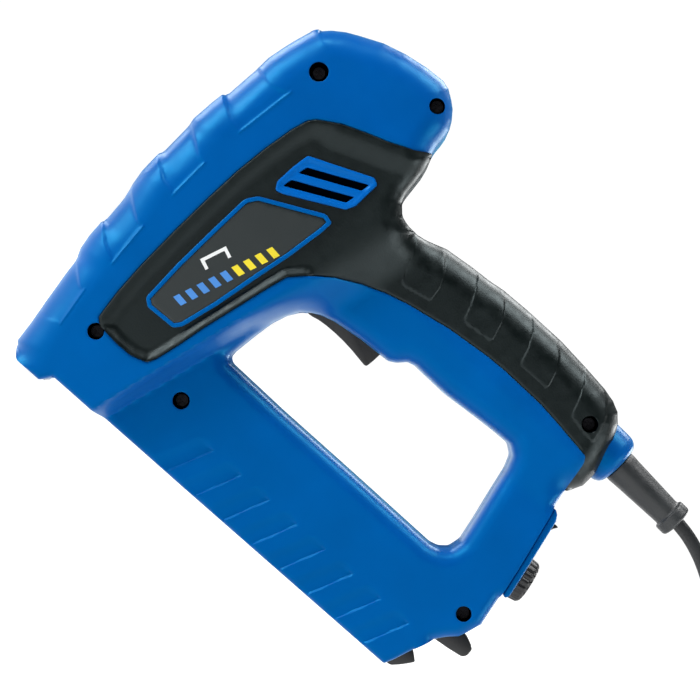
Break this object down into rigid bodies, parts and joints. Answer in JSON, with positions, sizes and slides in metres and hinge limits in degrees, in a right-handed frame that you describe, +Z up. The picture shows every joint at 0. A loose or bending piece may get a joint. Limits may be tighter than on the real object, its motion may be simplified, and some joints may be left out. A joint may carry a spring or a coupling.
{
  "type": "electric stapler",
  "caption": "Corded electric stapler for tacking: solenoid head with nose, D-shaped handle with trigger, sliding staple magazine, power dial and switch, and mains cord with plug.",
  "frame": {"origin": "middle of the steel nose foot's bottom face, where the tool stands on a surface", "axes": "+X from the nose back to the cord, +Z up along the head, +Y to the tool's right side"},
  "size_m": [0.3436, 0.1188, 0.2063],
  "materials": {
    "blue_plastic": "moulded, satin",
    "vent_blue": "moulded, satin",
    "grip_rubber": "soft moulding, fine grain",
    "badge_plastic": "printed plate, satin",
    "black_plastic": "moulded, satin",
    "steel": "bright",
    "zinc": "zinc plated",
    "copper": "enamelled copper wire",
    "bobbin_plastic": "moulded",
    "bumper_rubber": "matt",
    "board": "solder mask",
    "pin_brass": "nickel plated brass",
    "cord_rubber": "matt PVC"
  },
  "bodies": {
    "housing": {"left_shell": "blue_plastic", "right_shell": "blue_plastic", "rear_panel": "blue_plastic", "cord_collar": "blue_plastic", "left_vent": "vent_blue", "right_vent": "vent_blue", "left_grip": "grip_rubber", "right_grip": "grip_rubber", "left_badge": "badge_plastic", "right_badge": "badge_plastic", "trigger_switch": "black_plastic", "rocker_frame": "black_plastic", "plug_body": "black_plastic", "capacitor": "black_plastic", "solenoid_yoke": "steel", "return_spring": "steel", "nose_guide": "steel", "magazine_channel": "steel", "staple_strip": "steel", "latch_pin": "steel", "latch_spring": "steel", "trigger_pin": "steel", "trigger_spring": "steel", "potentiometer": "steel", "heat_sink": "steel", "housing_screw_1": "zinc", "housing_screw_2": "zinc", "housing_screw_3": "zinc", "housing_screw_4": "zinc", "housing_screw_5": "zinc", "housing_screw_6": "zinc", "coil_winding": "copper", "coil_bobbin": "bobbin_plastic", "upper_bumper": "bumper_rubber", "lower_bumper": "bumper_rubber", "circuit_board": "board", "plug_pin_1": "pin_brass", "plug_pin_2": "pin_brass", "strain_relief": "cord_rubber", "power_cord": "cord_rubber", "cord_coil": "cord_rubber", "cord_lead": "cord_rubber"},
    "driver": {"armature": "steel", "driver_blade": "steel"},
    "drawer": {"magazine_rail": "steel", "guide_rod": "steel", "magazine_tail": "black_plastic", "pusher_spring": "steel"},
    "staple_pusher": {"pusher": "zinc"},
    "latch_lever": {"magazine_latch": "black_plastic"},
    "trigger_lever": {"trigger": "black_plastic"},
    "switch_button": {"switch_plunger": "bumper_rubber"},
    "dial": {"power_dial": "black_plastic", "dial_shaft": "zinc"},
    "rocker": {"power_rocker": "black_plastic"}
  },
  "joints": [
    {"name": "trigger_squeeze", "type": "hinge", "parent": "housing", "child": "trigger_lever", "pos_m": [0.0745, 0, 0.1055], "axis": [0, 1, 0], "range_deg": [-7.5, 0], "stiffness_Nm_per_rad": 0.8, "springref_deg": 6.88, "deforming": ["trigger_spring"]},
    {"name": "switch_press", "type": "slide", "parent": "housing", "child": "switch_button", "axis": [0, 0, 1], "range_m": [0, 0.0026]},
    {"name": "driver_stroke", "type": "slide", "parent": "housing", "child": "driver", "axis": [0, 0, -1], "range_m": [0, 0.0195], "stiffness_N_per_m": 300, "springref_m": -0.012, "deforming": ["return_spring"]},
    {"name": "drawer_slide", "type": "slide", "parent": "housing", "child": "drawer", "axis": [1, 0, 0], "range_m": [0, 0.1]},
    {"name": "pusher_retract", "type": "slide", "parent": "drawer", "child": "staple_pusher", "axis": [1, 0, 0], "range_m": [0, 0.085], "stiffness_N_per_m": 40, "springref_m": -0.03, "deforming": ["pusher_spring"]},
    {"name": "latch_press", "type": "hinge", "parent": "housing", "child": "latch_lever", "pos_m": [0.2005, 0, 0.031], "axis": [0, 1, 0], "range_deg": [0, 8], "stiffness_Nm_per_rad": 0.6, "springref_deg": -8.59, "deforming": ["latch_spring"]},
    {"name": "dial_turn", "type": "hinge", "parent": "housing", "child": "dial", "pos_m": [0.2128, 0, 0.0705], "axis": [0.9868, 0, 0.1622], "range_deg": [-135, 135]},
    {"name": "rocker_tip", "type": "hinge", "parent": "housing", "child": "rocker", "pos_m": [0.20736, 0, 0.09374], "axis": [0, 1, 0], "range_deg": [-14, 0]}
  ],
  "couplings": [
    {"joint": "switch_press", "follows": "trigger_squeeze", "m_per_rad": -0.0183}
  ]
}
